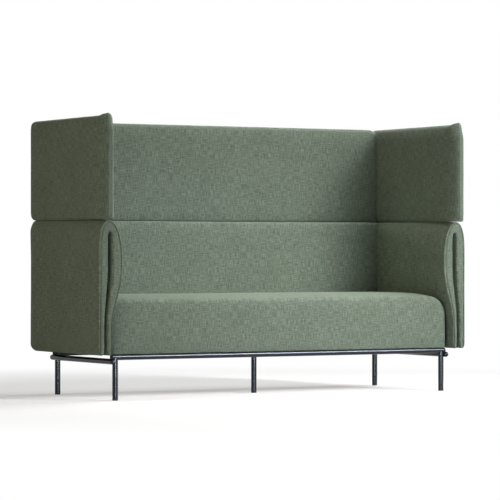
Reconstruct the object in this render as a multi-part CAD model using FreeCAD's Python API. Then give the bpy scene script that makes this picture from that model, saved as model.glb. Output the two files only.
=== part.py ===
import FreeCAD, Part
import math
import os

# Three-seat lounge sofa with a high back and side screens, in millimetres.
# X runs along the bench, the front faces -Y and Z = 0 is the floor.
# The left side is -X and the right side is +X. Left pieces are mirrored from right ones.

os.makedirs("parts", exist_ok=True)
Vec = FreeCAD.Vector

# Overall sizes
overall_width = 1906.0
overall_depth = 747.0
panel_top = 1238.0
split_height = 788.5
lower_edge = 198.0

# Upholstery
panel_thickness = 82.0
lower_back_thickness = 139.0
cover_thickness = 2.0
fit_gap = 0.3
panel_edge_radius = 21.0
panel_corner_radius = 32.0
face_crown = 6.0
face_crown_run = 150.0

# Side screens
strip_width = 20.0
nose_run = 62.0
ear_height = 8.0
ear_run = 48.0
ear_radius = 4.0
strip_foot_radius = 14.0
ear_roundness = 0.42

# Arms, folded over like a hairpin with a slot between the two leaves
arm_setback = 32.0
arm_top_drop = 3.5
outer_leaf = 30.0
inner_leaf = 26.0
slot_width = 11.0
slot_lean = 21.0
slot_top_drop = 52.0
arm_bulge = 118.0
arm_rear_thickness = 112.0
fold_offset = 45.0
fold_outer_radius = 35.0
fold_inner_radius = 50.0
fold_outer_drop = 125.0
arm_foot_radius = 18.0
arm_front_radius = 9.0
arm_rear_corner = 50.0
bulge_height = 600.0
bulge_land = 10.0
front_leaf_straight = 290.0
rear_leaf_straight = 300.0
rear_face_foot = 500.0
rear_face_head = 700.0
rear_fold_radius = 18.0
rear_block_step = 12.0
rear_face_step = 2.0
fold_land = 1.0
arm_rear_roundness = 0.7

# Seat
seat_setback = 38.0
seat_end_gap = 10.0
seat_rear_taper = 12.0
seat_top = 456.0
seat_front_drop = 17.0
seat_crown_run = 260.0
seat_front_radius = 22.0
seat_end_radius = 88.0
seat_foot_radius = 10.0

# Steel frame
tube_diameter = 25.0
tube_wall = 2.0
rail_height = 188.0
side_rail_drop = 18.5
side_rail_offset = 18.0
side_rail_overrun = 14.0
cross_rail_overrun = 12.5
leg_inset = 103.0
front_leg_inset = 80.5
rear_leg_inset = 91.5
centre_leg_y = -23.5
weld_gap = 0.1
plug_gap = 0.1
plug_length = 15.0

# Levelling feet
glide_height = 8.0
glide_edge = 1.5
stem_diameter = 8.0
stem_length = 30.0
stem_gap = 0.05
insert_length = 18.0

# Boards, beams and webbing
platform_thickness = 18.0
platform_inset = 6.0
beam_height = 110.0
beam_thickness = 25.0
beam_inset = 22.0
cross_beam_x = 280.0
webbing_width = 60.0
webbing_thickness = 2.0
webbing_count = 14
panel_board = 12.0
back_board = 15.0
back_board_skin = 20.0
arm_board_skin = 8.0
board_margin = 25.0
inner_board_skin = 10.0
inner_board_thickness = 10.0
post_run = 90.0
post_height = 200.0

# Links, brackets and fasteners
link_bar_thickness = 5.0
link_bar_width = 40.0
link_bar_reach = 290.0
side_bar_crank = 20.0
crank_foot_drop = 90.0
crank_head_drop = 45.0
side_bar_spread = 170.0
back_bar_pitch = 560.0
back_bar_count = 3
bar_screw_pitch = 60.0
tab_thickness = 3.0
tab_width = 40.0
tab_reach = 38.0
tab_pitch = 400.0
tab_count = 4
bracket_thickness = 4.0
bracket_width = 50.0
bracket_height = 104.0
bracket_foot = 86.0
bracket_hole_edge = 15.0
bracket_hole_pitch = 30.0
arm_bracket_spread = 160.0
back_bracket_pitch = 620.0
back_bracket_count = 3
back_bracket_foot = 46.0
back_hole_edge = 10.0
back_hole_pitch = 20.0
screw_diameter = 6.0
screw_head = 11.0
screw_head_height = 3.0
screw_bite = 0.75
bolt_diameter = 8.0
bolt_head = 13.0
bolt_head_height = 5.0
bolt_pitch = 36.0
bolt_edge = 20.0
tee_nut_flange = 20.0
tee_nut_thickness = 1.5
tee_nut_barrel = 8.0
tee_nut_wall = 1.5
hole_gap = 0.25

# Room that a cutting shape has beyond the piece it cuts, and the overlap of two shapes that are joined
cut_room = 20.0
join_overlap = 1.0
tiny = 1e-6

# Loft steps, as shares of the rounding that they follow
crown_shares = (0.0, 0.12, 0.45, 1.0)
edge_steps = 3
seat_edge_shares = (0.0, 0.06, 0.25, 0.6, 1.0)
seat_crown_shares = (0.3, 0.6, 1.0)
arm_front_shares = (0.0, 0.1, 0.4, 1.0)
arm_rear_shares = (1.0, 0.5, 0.2, 0.0)

# Places that follow from the sizes above
half_width = overall_width / 2
front_y = -overall_depth / 2
rear_y = overall_depth / 2
arm_front_y = front_y + arm_setback
seat_front_y = arm_front_y + seat_setback
lower_back_y = rear_y - lower_back_thickness
upper_back_y = rear_y - panel_thickness
seat_rear_y = lower_back_y - fit_gap
screen_x = half_width - panel_thickness
upper_half = screen_x - fit_gap
lower_half = half_width - arm_rear_thickness - fit_gap
leaf_x = half_width - outer_leaf - slot_width - inner_leaf
seat_half = leaf_x - seat_end_gap
arm_top = split_height - arm_top_drop
upper_low = split_height + fit_gap
lower_high = split_height - fit_gap
tube_radius = tube_diameter / 2
bore_radius = tube_radius - tube_wall
weld_radius = tube_radius + weld_gap
rail_top = rail_height + tube_radius
side_rail_height = rail_height - side_rail_drop
leg_x = half_width - leg_inset
front_leg_y = front_y + front_leg_inset
rear_leg_y = rear_y - rear_leg_inset
side_rail_x = leg_x + side_rail_offset
cross_rail_end = leg_x + cross_rail_overrun
side_rail_front = front_leg_y - side_rail_overrun
side_rail_rear = rear_leg_y + side_rail_overrun
platform_top = rail_top + platform_thickness
platform_half = seat_half - seat_rear_taper - platform_inset
platform_front = seat_front_y + platform_inset
platform_rear = rear_leg_y + tube_radius
beam_top = platform_top + beam_height
nose_depth = (panel_thickness - strip_width) / 2
below = lower_edge - cut_room
skin = cover_thickness
foam_inset = cover_thickness + fit_gap


def save(name, shape):
    shape.exportStep("parts/" + name + ".step")


def box(x0, x1, y0, y1, z0, z1):
    return Part.makeBox(x1 - x0, y1 - y0, z1 - z0, Vec(x0, y0, z0))


def rod(start, end, radius):
    along = end - start
    return Part.makeCylinder(radius, along.Length, start, along)


def tube(start, end):
    return rod(start, end, tube_radius).cut(rod(start, end, bore_radius))


def mirrored(shape):
    return shape.mirror(Vec(0, 0, 0), Vec(1, 0, 0))


def both_sides(shapes):
    return shapes + [mirrored(shape) for shape in shapes]


def save_pair(name, right_shape):
    save("right_" + name, right_shape)
    save("left_" + name, mirrored(right_shape))


def cut_all(shape, tools):
    for tool in tools:
        shape = shape.cut(tool)
    return shape


def spaced(count, pitch):
    return [(index - (count - 1) / 2) * pitch for index in range(count)]


def fastener(seat_point, direction, length, diameter, head, head_height, grow=0.0):
    # The head lies behind the seat point and the shank runs on from it.
    aim = Vec(direction)
    aim.normalize()
    head_start = seat_point - aim * (head_height + grow)
    shank = rod(seat_point - aim * join_overlap, seat_point + aim * (length + grow), diameter / 2 + grow)
    cap = rod(head_start, seat_point, head / 2 + grow)
    return cap.fuse(shank).removeSplitter()


def screw(seat_point, direction, length, grow=0.0):
    return fastener(seat_point, direction, length, screw_diameter, screw_head, screw_head_height, grow)


def bolt(seat_point, direction, length, grow=0.0):
    return fastener(seat_point, direction, length, bolt_diameter, bolt_head, bolt_head_height, grow)


# Soft forms. Each is a loft through rings, and a ring is lines and arcs in one plane.
# The ring drops back from its full outline near a face, along a quarter ellipse.

def draw_back(depth, run, full_depth):
    if depth >= full_depth:
        return 0.0
    return run * (1 - math.sqrt(1 - (1 - depth / full_depth) ** 2))


def ring_depths(edge_depth):
    depths = [share * face_crown for share in crown_shares]
    for step in range(1, edge_steps + 1):
        depths.append(face_crown + (edge_depth - face_crown) * step / edge_steps)
    return depths


def face_inset(depth):
    return draw_back(depth, face_crown_run, face_crown)


def on_plane(axis, level, across, height):
    if axis == "y":
        return Vec(across, level, height)
    return Vec(level, across, height)


def arc_edge(start, middle, end):
    return Part.Arc(start, middle, end).toShape()


def line_edge(start, end):
    return Part.makeLine(start, end)


def quarter_arc(axis, level, across, height, radius, first_angle):
    points = []
    for turn in (0, 45, 90):
        angle = math.radians(first_angle + turn)
        point_a = across + radius * math.cos(angle)
        point_b = height + radius * math.sin(angle)
        points.append(on_plane(axis, level, point_a, point_b))
    return points


def rounded_ring(axis, level, low, high, bottom, top, foot_radius, head_radius):
    # The corners run anticlockwise from the low, bottom one.
    corners = [
        (low, bottom, 1, 1, foot_radius, 180),
        (high, bottom, -1, 1, foot_radius, 270),
        (high, top, -1, -1, head_radius, 0),
        (low, top, 1, -1, head_radius, 90),
    ]
    arcs = []
    for across, height, inward, upward, radius, first_angle in corners:
        centre_a = across + inward * radius
        centre_b = height + upward * radius
        arcs.append(quarter_arc(axis, level, centre_a, centre_b, radius, first_angle))
    edges = []
    for index, points in enumerate(arcs):
        following = arcs[(index + 1) % len(arcs)]
        edges.append(arc_edge(*points))
        edges.append(line_edge(points[2], following[0]))
    return Part.Wire(edges)


def back_form(front, half_length, bottom, top, inset):
    front_level = front + inset
    rear_level = rear_y - inset
    radius = panel_edge_radius
    levels = [(front_level + depth, depth) for depth in ring_depths(radius)]
    levels += [(rear_level - depth, depth) for depth in reversed(ring_depths(radius))]
    rings = []
    for level, depth in levels:
        shrink = inset + face_inset(depth) + draw_back(depth, radius, radius)
        high = half_length - shrink
        corner = panel_corner_radius / 2
        rings.append(rounded_ring("y", level, -high, high, bottom + shrink, top - shrink, corner, corner))
    return Part.makeLoft(rings, True, True)


def upper_back_form(inset):
    return back_form(upper_back_y, upper_half, upper_low, panel_top, inset)


def lower_back_form(inset):
    return back_form(lower_back_y, lower_half, lower_edge, lower_high, inset)


def screen_ring(level, depth, inset):
    shrink = inset + face_inset(depth) + draw_back(depth, panel_edge_radius, panel_edge_radius)
    front = front_y + inset + face_inset(depth) + draw_back(depth, nose_run, nose_depth)
    rear = rear_y - shrink
    bottom = upper_low + shrink
    top = panel_top - shrink
    rise = ear_height * max(0.0, 2 * depth / nose_depth - 1)
    corner = panel_corner_radius
    foot = strip_foot_radius

    foot_arc = quarter_arc("x", level, front + foot, bottom + foot, foot, 180)
    rear_foot_arc = quarter_arc("x", level, rear - corner, bottom + corner, corner, 270)
    rear_head_arc = quarter_arc("x", level, rear - corner, top - corner, corner, 0)
    slope_start = on_plane("x", level, front + ear_run, top)
    tip = on_plane("x", level, front, top + rise)
    slope = tip - slope_start
    slope.normalize()
    tip_start = tip - slope * ear_radius
    tip_end = on_plane("x", level, front, top + rise - ear_radius)
    chord_middle = (tip_start + tip_end) * 0.5
    tip_middle = chord_middle + (tip - chord_middle) * ear_roundness
    edges = [
        arc_edge(*foot_arc),
        line_edge(foot_arc[2], rear_foot_arc[0]),
        arc_edge(*rear_foot_arc),
        line_edge(rear_foot_arc[2], rear_head_arc[0]),
        arc_edge(*rear_head_arc),
        line_edge(rear_head_arc[2], slope_start),
        line_edge(slope_start, tip_start),
        arc_edge(tip_start, tip_middle, tip_end),
        line_edge(tip_end, foot_arc[0]),
    ]
    return Part.Wire(edges)


def screen_form(inset):
    depths = ring_depths(panel_edge_radius) + [nose_depth]
    levels = [(screen_x + inset + depth, depth) for depth in depths]
    levels += [(half_width - inset - depth, depth) for depth in reversed(depths)]
    return Part.makeLoft([screen_ring(level, depth, inset) for level, depth in levels], True, True)


def seat_form(inset, bottom):
    front_level = seat_front_y + inset
    rear_level = seat_rear_y - inset
    radius = seat_front_radius
    edge_depths = [share * radius for share in seat_edge_shares]
    levels = [(front_level + depth, depth, depth) for depth in edge_depths]
    for share in seat_crown_shares:
        depth = radius + (seat_crown_run - radius) * share
        levels.append((front_level + depth, depth, radius))
    levels += [(rear_level - depth, seat_crown_run, depth) for depth in reversed(edge_depths)]
    rings = []
    for level, crown_depth, edge_depth in levels:
        drop = seat_front_drop * (1 - crown_depth / seat_crown_run) ** 2
        shrink = inset + draw_back(edge_depth, radius, radius)
        taper = seat_rear_taper * (level - seat_front_y) / (seat_rear_y - seat_front_y)
        half = seat_half - shrink - taper
        top = seat_top - shrink - drop
        rings.append(rounded_ring("y", level, -half, half, bottom, top, seat_foot_radius, seat_end_radius))
    return Part.makeLoft(rings, True, True)


# The arm section is drawn as (distance in from the outer face, height).
# Arcs are listed in order and straight edges join them.

def blended(front_value, rear_value, share):
    return front_value + (rear_value - front_value) * share


def unit(across, height):
    length = math.hypot(across, height)
    return (across / length, height / length)


def arm_arcs(share, closing=0.0):
    thickness = blended(arm_bulge, arm_rear_thickness, share)
    lower_thickness = blended(outer_leaf + slot_width + inner_leaf, thickness - rear_face_step, closing)
    inner_radius = blended(fold_inner_radius, rear_fold_radius, share)
    rear_fold_centre = arm_rear_thickness - rear_fold_radius - rear_face_step
    fold_inner = blended(fold_offset + fold_land, rear_fold_centre, share)
    head = blended(bulge_height + bulge_land / 2, rear_face_head, share)
    foot = blended(bulge_height - bulge_land / 2, rear_face_foot, share)
    straight = blended(front_leaf_straight, rear_leaf_straight, share)

    rise = fold_outer_drop - fold_outer_radius
    spare = fold_offset - fold_outer_radius
    outer_sweep = (fold_offset ** 2 + rise ** 2 - fold_outer_radius ** 2) / (2 * spare)
    outer_turn = unit(fold_offset - outer_sweep, rise)
    width = thickness - fold_inner
    climb = arm_top - inner_radius - head
    inner_sweep = (width ** 2 + climb ** 2 - inner_radius ** 2) / (2 * (width - inner_radius))
    inner_turn = unit(fold_inner - (thickness - inner_sweep), climb)
    half_step = (thickness - lower_thickness) / 2
    half_drop = (foot - straight) / 2
    bend = (half_step ** 2 + half_drop ** 2) / (2 * half_step)
    bend_turn = unit(bend - half_step, -half_drop)
    bend_back = (-bend_turn[0], -bend_turn[1])

    radius = arm_foot_radius
    foot_level = lower_edge + radius
    fold_level = arm_top - fold_outer_radius
    return [
        ((radius, foot_level), radius, (0, -1), (-1, 0), 1),
        ((outer_sweep, arm_top - fold_outer_drop), outer_sweep, (-1, 0), outer_turn, 1),
        ((fold_offset, fold_level), fold_outer_radius, outer_turn, (0, 1), 1),
        ((fold_inner, arm_top - inner_radius), inner_radius, (0, 1), inner_turn, 1),
        ((thickness - inner_sweep, head), inner_sweep, inner_turn, (1, 0), 1),
        ((thickness - bend, foot), bend, (1, 0), bend_turn, 1),
        ((lower_thickness + bend, straight), bend, bend_back, (-1, 0), -1),
        ((lower_thickness - radius, foot_level), radius, (1, 0), (0, -1), 1),
    ]


def arm_point(level, across, height):
    return Vec(half_width - across, level, height)


def arc_points(level, arc, inset):
    centre, radius, first, last, outward = arc
    reach = radius - outward * inset
    middle = unit(first[0] + last[0], first[1] + last[1])
    points = []
    for aim in (first, middle, last):
        points.append(arm_point(level, centre[0] + reach * aim[0], centre[1] + reach * aim[1]))
    return points


def arm_ring(level, share, inset, closing=0.0):
    arcs = [arc_points(level, arc, inset) for arc in arm_arcs(share, closing)]
    edges = []
    for index, points in enumerate(arcs):
        following = arcs[(index + 1) % len(arcs)]
        edges.append(arc_edge(*points))
        if (points[2] - following[0]).Length > tiny:
            edges.append(line_edge(points[2], following[0]))
    return Part.Wire(edges)


def arm_form(inset):
    front_level = arm_front_y + inset
    rear_level = rear_y - inset
    front_depths = [share * arm_front_radius for share in arm_front_shares]
    rear_depths = [share * panel_edge_radius for share in arm_rear_shares]
    rings = []
    for depth in front_depths:
        shrink = inset + draw_back(depth, arm_front_radius, arm_front_radius)
        rings.append(arm_ring(front_level + depth, 0.0, shrink))
    rings.append(arm_ring(lower_back_y, 1.0, inset))
    rings.append(arm_ring(lower_back_y + rear_block_step, 1.0, inset, 1.0))
    for depth in rear_depths:
        shrink = inset + arm_rear_roundness * draw_back(depth, panel_edge_radius, panel_edge_radius)
        rings.append(arm_ring(rear_level - depth, 1.0, shrink, 1.0))
    body = Part.makeLoft(rings, True, True)
    corner = arm_rear_corner - inset
    low = lower_edge + inset
    high = arm_top - inset
    lower_arc = quarter_arc("x", 0.0, rear_level - corner, low + corner, corner, 270)
    upper_arc = quarter_arc("x", 0.0, rear_level - corner, high - corner, corner, 0)
    front_foot = Vec(0, front_y, low)
    front_head = Vec(0, front_y, high)
    outline = [
        line_edge(front_foot, lower_arc[0]),
        arc_edge(*lower_arc),
        line_edge(lower_arc[2], upper_arc[0]),
        arc_edge(*upper_arc),
        line_edge(upper_arc[2], front_head),
        line_edge(front_head, front_foot),
    ]
    side_view = Part.Face(Part.Wire(outline)).extrude(Vec(overall_width, 0, 0))
    return body.common(side_view)


def leaf_line(shift):
    # One side of the slot as points and arcs, moved sideways from the slot's middle.
    lower = outer_leaf + slot_width / 2
    upper = lower + slot_lean
    low = front_leaf_straight
    high = bulge_height + bulge_land
    half_step = slot_lean / 2
    half_rise = (high - low) / 2
    bend = (half_step ** 2 + half_rise ** 2) / (2 * half_step)
    half_turn = math.asin(half_rise / bend) / 2
    lower_bend = bend - shift
    upper_bend = bend + shift
    lower_centre = lower + bend
    upper_centre = upper - bend
    points = [
        (lower + shift, low),
        (lower_centre - lower_bend * math.cos(half_turn), low + lower_bend * math.sin(half_turn)),
        (lower_centre - lower_bend * math.cos(2 * half_turn), low + lower_bend * math.sin(2 * half_turn)),
        (upper_centre + upper_bend * math.cos(half_turn), high - upper_bend * math.sin(half_turn)),
        (upper + shift, high),
    ]
    return points


def slot_band(width, first_y, last_y, top):
    outer_side = leaf_line(-width / 2)
    inner_side = leaf_line(width / 2)

    def at(pair):
        return arm_point(first_y, pair[0], pair[1])

    outer_foot = at((outer_side[0][0], below))
    inner_foot = at((inner_side[0][0], below))
    outer_head = at((outer_side[4][0], top - width / 2))
    inner_head = at((inner_side[4][0], top - width / 2))
    crest = at(((outer_side[4][0] + inner_side[4][0]) / 2, top))
    slant = width / 2 * math.sqrt(0.5)
    outer_crest = at((outer_side[4][0] + width / 2 - slant, top - width / 2 + slant))
    inner_crest = at((inner_side[4][0] - width / 2 + slant, top - width / 2 + slant))
    edges = [
        line_edge(outer_foot, at(outer_side[0])),
        arc_edge(at(outer_side[0]), at(outer_side[1]), at(outer_side[2])),
        arc_edge(at(outer_side[2]), at(outer_side[3]), at(outer_side[4])),
        line_edge(at(outer_side[4]), outer_head),
        arc_edge(outer_head, outer_crest, crest),
        arc_edge(crest, inner_crest, inner_head),
        line_edge(inner_head, at(inner_side[4])),
        arc_edge(at(inner_side[4]), at(inner_side[3]), at(inner_side[2])),
        arc_edge(at(inner_side[2]), at(inner_side[1]), at(inner_side[0])),
        line_edge(at(inner_side[0]), inner_foot),
        line_edge(inner_foot, outer_foot),
    ]
    return Part.Face(Part.Wire(edges)).extrude(Vec(0, last_y - first_y, 0))


# Steel frame: two long rails, two side rails, a middle rail and five legs.
# The side rails are whole. Rails and legs that meet them are notched to fit and welded.

def rail_point(x, y):
    return Vec(x, y, rail_height)


def dome_cap(centre, outward):
    aim = Vec(outward)
    dome = Part.makeSphere(tube_radius, centre)
    behind = Part.makeBox(4 * tube_radius, 4 * tube_radius, 4 * tube_radius)
    behind.translate(Vec(-2 * tube_radius, -2 * tube_radius, -4 * tube_radius))
    turn = FreeCAD.Placement(centre, FreeCAD.Rotation(Vec(0, 0, 1), aim))
    behind.Placement = turn.multiply(behind.Placement)
    plug = rod(centre - aim * plug_length, centre + aim * join_overlap, bore_radius - plug_gap)
    return dome.cut(behind).fuse(plug).removeSplitter()


side_start = Vec(side_rail_x, side_rail_front, side_rail_height)
side_end = Vec(side_rail_x, side_rail_rear, side_rail_height)
right_side_rail = tube(side_start, side_end)
side_caps = [dome_cap(side_start, Vec(0, -1, 0)), dome_cap(side_end, Vec(0, 1, 0))]
side_seats = []
for seat in (rod(side_start, side_end, weld_radius), Part.makeSphere(weld_radius, side_start),
             Part.makeSphere(weld_radius, side_end)):
    side_seats += [seat, mirrored(seat)]

save_pair("side_rail", right_side_rail)

cross_caps = []
for name, level in (("front_rail", front_leg_y), ("rear_rail", rear_leg_y)):
    rail = tube(rail_point(-cross_rail_end, level), rail_point(cross_rail_end, level))
    save(name, cut_all(rail, side_seats))
    cap = dome_cap(rail_point(cross_rail_end, level), Vec(1, 0, 0))
    cross_caps.append(cut_all(cap, side_seats))
save("rail_end_caps", Part.makeCompound(both_sides(side_caps + cross_caps)))

front_seat = rod(rail_point(-half_width, front_leg_y), rail_point(half_width, front_leg_y), weld_radius)
rear_seat = rod(rail_point(-half_width, rear_leg_y), rail_point(half_width, rear_leg_y), weld_radius)
middle_start = rail_point(0, front_leg_y)
middle_end = rail_point(0, rear_leg_y)
save("middle_rail", cut_all(tube(middle_start, middle_end), [front_seat, rear_seat]))
middle_seat = rod(middle_start, middle_end, weld_radius)

leg_foot = glide_height + fit_gap


def leg(x, y, seats):
    return cut_all(tube(Vec(x, y, leg_foot), rail_point(x, y)), seats)


save_pair("front_leg", leg(leg_x, front_leg_y, [front_seat] + side_seats))
save_pair("rear_leg", leg(leg_x, rear_leg_y, [rear_seat] + side_seats))
save("centre_leg", leg(0, centre_leg_y, [middle_seat]))

leg_places = {
    "front_left": (-leg_x, front_leg_y),
    "front_right": (leg_x, front_leg_y),
    "rear_left": (-leg_x, rear_leg_y),
    "rear_right": (leg_x, rear_leg_y),
    "centre": (0, centre_leg_y),
}
inserts = []
for place, (x, y) in leg_places.items():
    insert = rod(Vec(x, y, leg_foot), Vec(x, y, leg_foot + insert_length), bore_radius - plug_gap)
    hole = rod(Vec(x, y, 0), Vec(x, y, leg_foot + 2 * insert_length), stem_diameter / 2 + stem_gap)
    inserts.append(insert.cut(hole))
    pad = rod(Vec(x, y, 0), Vec(x, y, glide_height), tube_radius)
    foot_edges = [edge for edge in pad.Edges if abs(edge.BoundBox.ZMax) < tiny]
    pad = pad.makeChamfer(glide_edge, foot_edges)
    stem_root = Vec(x, y, glide_height - join_overlap)
    stem = rod(stem_root, Vec(x, y, glide_height + stem_length), stem_diameter / 2)
    save(place + "_glide", pad.fuse(stem).removeSplitter())
save("glide_inserts", Part.makeCompound(inserts))

# Tabs welded to the long rails carry the platform's screws.
tab_start = math.sqrt(weld_radius ** 2 - (tube_radius - tab_thickness) ** 2)
tabs = []
platform_screws = []
platform_pockets = []
for level, inward in ((front_leg_y, 1), (rear_leg_y, -1)):
    for x in spaced(tab_count, tab_pitch):
        near = level + inward * tab_start
        far = level + inward * (tube_radius + tab_reach)
        low_y = min(near, far)
        high_y = max(near, far)
        tab = box(x - tab_width / 2, x + tab_width / 2, low_y, high_y, rail_top - tab_thickness, rail_top)
        head_seat = Vec(x, level + inward * (tube_radius + tab_reach / 2), rail_top - tab_thickness)
        reach = tab_thickness + platform_thickness * screw_bite
        platform_screws.append(screw(head_seat, Vec(0, 0, 1), reach))
        pocket = screw(head_seat, Vec(0, 0, 1), reach, hole_gap)
        platform_pockets.append(pocket)
        tabs.append(tab.cut(pocket))
save("platform_tabs", Part.makeCompound(tabs))

# Arm brackets under the platform hold the inner leaves of both arms.
arm_brackets = []
arm_bracket_screws = []
arm_bracket_pockets = []
arm_bolts = []
arm_bolt_pockets = []
arm_tee_nuts = []
arm_tee_pockets = []
plate_x = leaf_x - fit_gap
bolt_reach = bracket_thickness + fit_gap + inner_board_skin + inner_board_thickness + tee_nut_thickness
board_far = leaf_x + inner_board_skin + inner_board_thickness
for y in spaced(2, 2 * arm_bracket_spread):
    low_y = y - bracket_width / 2
    high_y = y + bracket_width / 2
    low_z = rail_top - bracket_thickness
    plate = box(plate_x - bracket_thickness, plate_x, low_y, high_y, low_z, low_z + bracket_height)
    ledge = box(plate_x - bracket_foot, plate_x, low_y, high_y, low_z, rail_top)
    bracket = plate.fuse(ledge).removeSplitter()
    first_hole_x = plate_x - bracket_foot + bracket_hole_edge
    for x in (first_hole_x, first_hole_x + bracket_hole_pitch):
        head_seat = Vec(x, y, low_z)
        reach = bracket_thickness + platform_thickness * screw_bite
        arm_bracket_screws.append(screw(head_seat, Vec(0, 0, 1), reach))
        arm_bracket_pockets.append(screw(head_seat, Vec(0, 0, 1), reach, hole_gap))
    high_bolt_z = low_z + bracket_height - bolt_edge
    for z in (high_bolt_z - bolt_pitch, high_bolt_z):
        head_seat = Vec(plate_x - bracket_thickness, y, z)
        arm_bolts.append(bolt(head_seat, Vec(1, 0, 0), bolt_reach))
        arm_bolt_pockets.append(bolt(head_seat, Vec(1, 0, 0), bolt_reach, hole_gap))
        flange = rod(Vec(board_far, y, z), Vec(board_far + tee_nut_thickness, y, z), tee_nut_flange / 2)
        barrel_radius = bolt_diameter / 2 + tee_nut_wall
        barrel_tip = Vec(board_far - tee_nut_barrel, y, z)
        barrel = rod(barrel_tip, Vec(board_far + join_overlap, y, z), barrel_radius)
        nut = flange.fuse(barrel).removeSplitter()
        arm_tee_pockets.append(nut)
        arm_tee_nuts.append(nut.cut(arm_bolt_pockets[-1]))
    bracket = cut_all(bracket, arm_bracket_pockets + arm_bolt_pockets)
    arm_brackets.append(bracket)
save("arm_brackets", Part.makeCompound(both_sides(arm_brackets)))
save("arm_bolts", Part.makeCompound(both_sides(arm_bolts)))
save("arm_tee_nuts", Part.makeCompound(both_sides(arm_tee_nuts)))

# Back brackets stand on the platform and hold the lower back's board.
lower_board_y = rear_y - back_board_skin - back_board
back_brackets = []
back_bracket_blanks = []
back_bracket_screws = []
back_bracket_pockets = []
for x in spaced(back_bracket_count, back_bracket_pitch):
    low_x = x - bracket_width / 2
    high_x = x + bracket_width / 2
    foot_y = platform_rear - back_bracket_foot
    foot_top = platform_top + bracket_thickness
    upright_y = lower_board_y - bracket_thickness
    foot = box(low_x, high_x, foot_y, lower_board_y, platform_top, foot_top)
    upright = box(low_x, high_x, upright_y, lower_board_y, platform_top, platform_top + bracket_height)
    back_bracket_blanks += [foot, upright]
    bracket = foot.fuse(upright).removeSplitter()
    first_hole_y = foot_y + back_hole_edge
    for y in (first_hole_y, first_hole_y + back_hole_pitch):
        head_seat = Vec(x, y, foot_top)
        reach = bracket_thickness + platform_thickness * screw_bite
        back_bracket_screws.append(screw(head_seat, Vec(0, 0, -1), reach))
        back_bracket_pockets.append(screw(head_seat, Vec(0, 0, -1), reach, hole_gap))
    high_hole_z = platform_top + bracket_height - bracket_hole_edge
    for z in (high_hole_z - bracket_hole_pitch, high_hole_z):
        head_seat = Vec(x, upright_y, z)
        reach = bracket_thickness + back_board * screw_bite
        back_bracket_screws.append(screw(head_seat, Vec(0, 1, 0), reach))
        back_bracket_pockets.append(screw(head_seat, Vec(0, 1, 0), reach, hole_gap))
    back_brackets.append(cut_all(bracket, back_bracket_pockets))
save("back_brackets", Part.makeCompound(back_brackets))
bracket_screws = platform_screws + both_sides(arm_bracket_screws) + back_bracket_screws
save("bracket_screws", Part.makeCompound(bracket_screws))

# Link bars tie each upper panel's board to the board below it.
arm_board_x = half_width - arm_board_skin - panel_board
side_bar_x = arm_board_x - link_bar_thickness
back_bar_y = lower_board_y - link_bar_thickness
bar_low = split_height - link_bar_reach
bar_high = split_height + link_bar_reach
half_bar = link_bar_width / 2
crank_foot = split_height - crank_foot_drop
crank_head = split_height - crank_head_drop
high_bar_x = side_bar_x - side_bar_crank


def bar_screws(low_seat, low_aim, high_seat, high_aim, board_below, grow):
    made = []
    for step in (0, 1):
        rise = Vec(0, 0, step * bar_screw_pitch)
        low_reach = link_bar_thickness + board_below * screw_bite
        high_reach = link_bar_thickness + panel_board * screw_bite
        made.append(screw(low_seat + rise, low_aim, low_reach, grow))
        made.append(screw(high_seat - rise, high_aim, high_reach, grow))
    return made


def cranked_bar(y):
    # The bar steps inwards below the split, so that it passes where the arm and the screen all but meet.
    path = [(side_bar_x, bar_low), (side_bar_x, crank_foot), (high_bar_x, crank_head), (high_bar_x, bar_high)]
    near = [Vec(x, y - half_bar, z) for x, z in path]
    far = [Vec(x + link_bar_thickness, y - half_bar, z) for x, z in reversed(path)]
    outline = Part.makePolygon(near + far + near[:1])
    return Part.Face(outline).extrude(Vec(0, link_bar_width, 0))


side_bars = []
side_bar_blanks = []
side_bar_screws = []
side_bar_pockets = []
for y in spaced(2, 2 * side_bar_spread):
    blank = cranked_bar(y)
    low_seat = Vec(side_bar_x, y, bar_low + half_bar)
    high_seat = Vec(high_bar_x + link_bar_thickness, y, bar_high - half_bar)
    aims = (Vec(1, 0, 0), Vec(-1, 0, 0))
    side_bar_screws += bar_screws(low_seat, aims[0], high_seat, aims[1], panel_board, 0.0)
    pockets = bar_screws(low_seat, aims[0], high_seat, aims[1], panel_board, hole_gap)
    side_bar_pockets += pockets
    side_bar_blanks.append(blank)
    side_bars.append(cut_all(blank, pockets))

back_bars = []
back_bar_blanks = []
back_bar_screws = []
back_bar_pockets = []
for x in spaced(back_bar_count, back_bar_pitch):
    blank = box(x - half_bar, x + half_bar, back_bar_y, lower_board_y, bar_low, bar_high)
    low_seat = Vec(x, back_bar_y, bar_low + half_bar)
    high_seat = Vec(x, lower_board_y, bar_high - half_bar)
    aims = (Vec(0, 1, 0), Vec(0, -1, 0))
    back_bar_screws += bar_screws(low_seat, aims[0], high_seat, aims[1], back_board, 0.0)
    pockets = bar_screws(low_seat, aims[0], high_seat, aims[1], back_board, hole_gap)
    back_bar_pockets += pockets
    back_bar_blanks.append(blank)
    back_bars.append(cut_all(blank, pockets))

save("link_bars", Part.makeCompound(both_sides(side_bars) + back_bars))
save("link_bar_screws", Part.makeCompound(both_sides(side_bar_screws) + back_bar_screws))

# Seat: a platform, a timber box with webbing over it, a foam block and a cover.
platform_blank = box(-platform_half, platform_half, platform_front, seat_rear_y, rail_top, platform_top)
platform_tail = box(-lower_half, lower_half, seat_rear_y, platform_rear, rail_top, platform_top)
platform_blank = platform_blank.fuse(platform_tail).removeSplitter()
platform_cuts = platform_pockets + both_sides(arm_bracket_pockets) + back_bracket_pockets
save("seat_platform", cut_all(platform_blank, platform_cuts))

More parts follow.
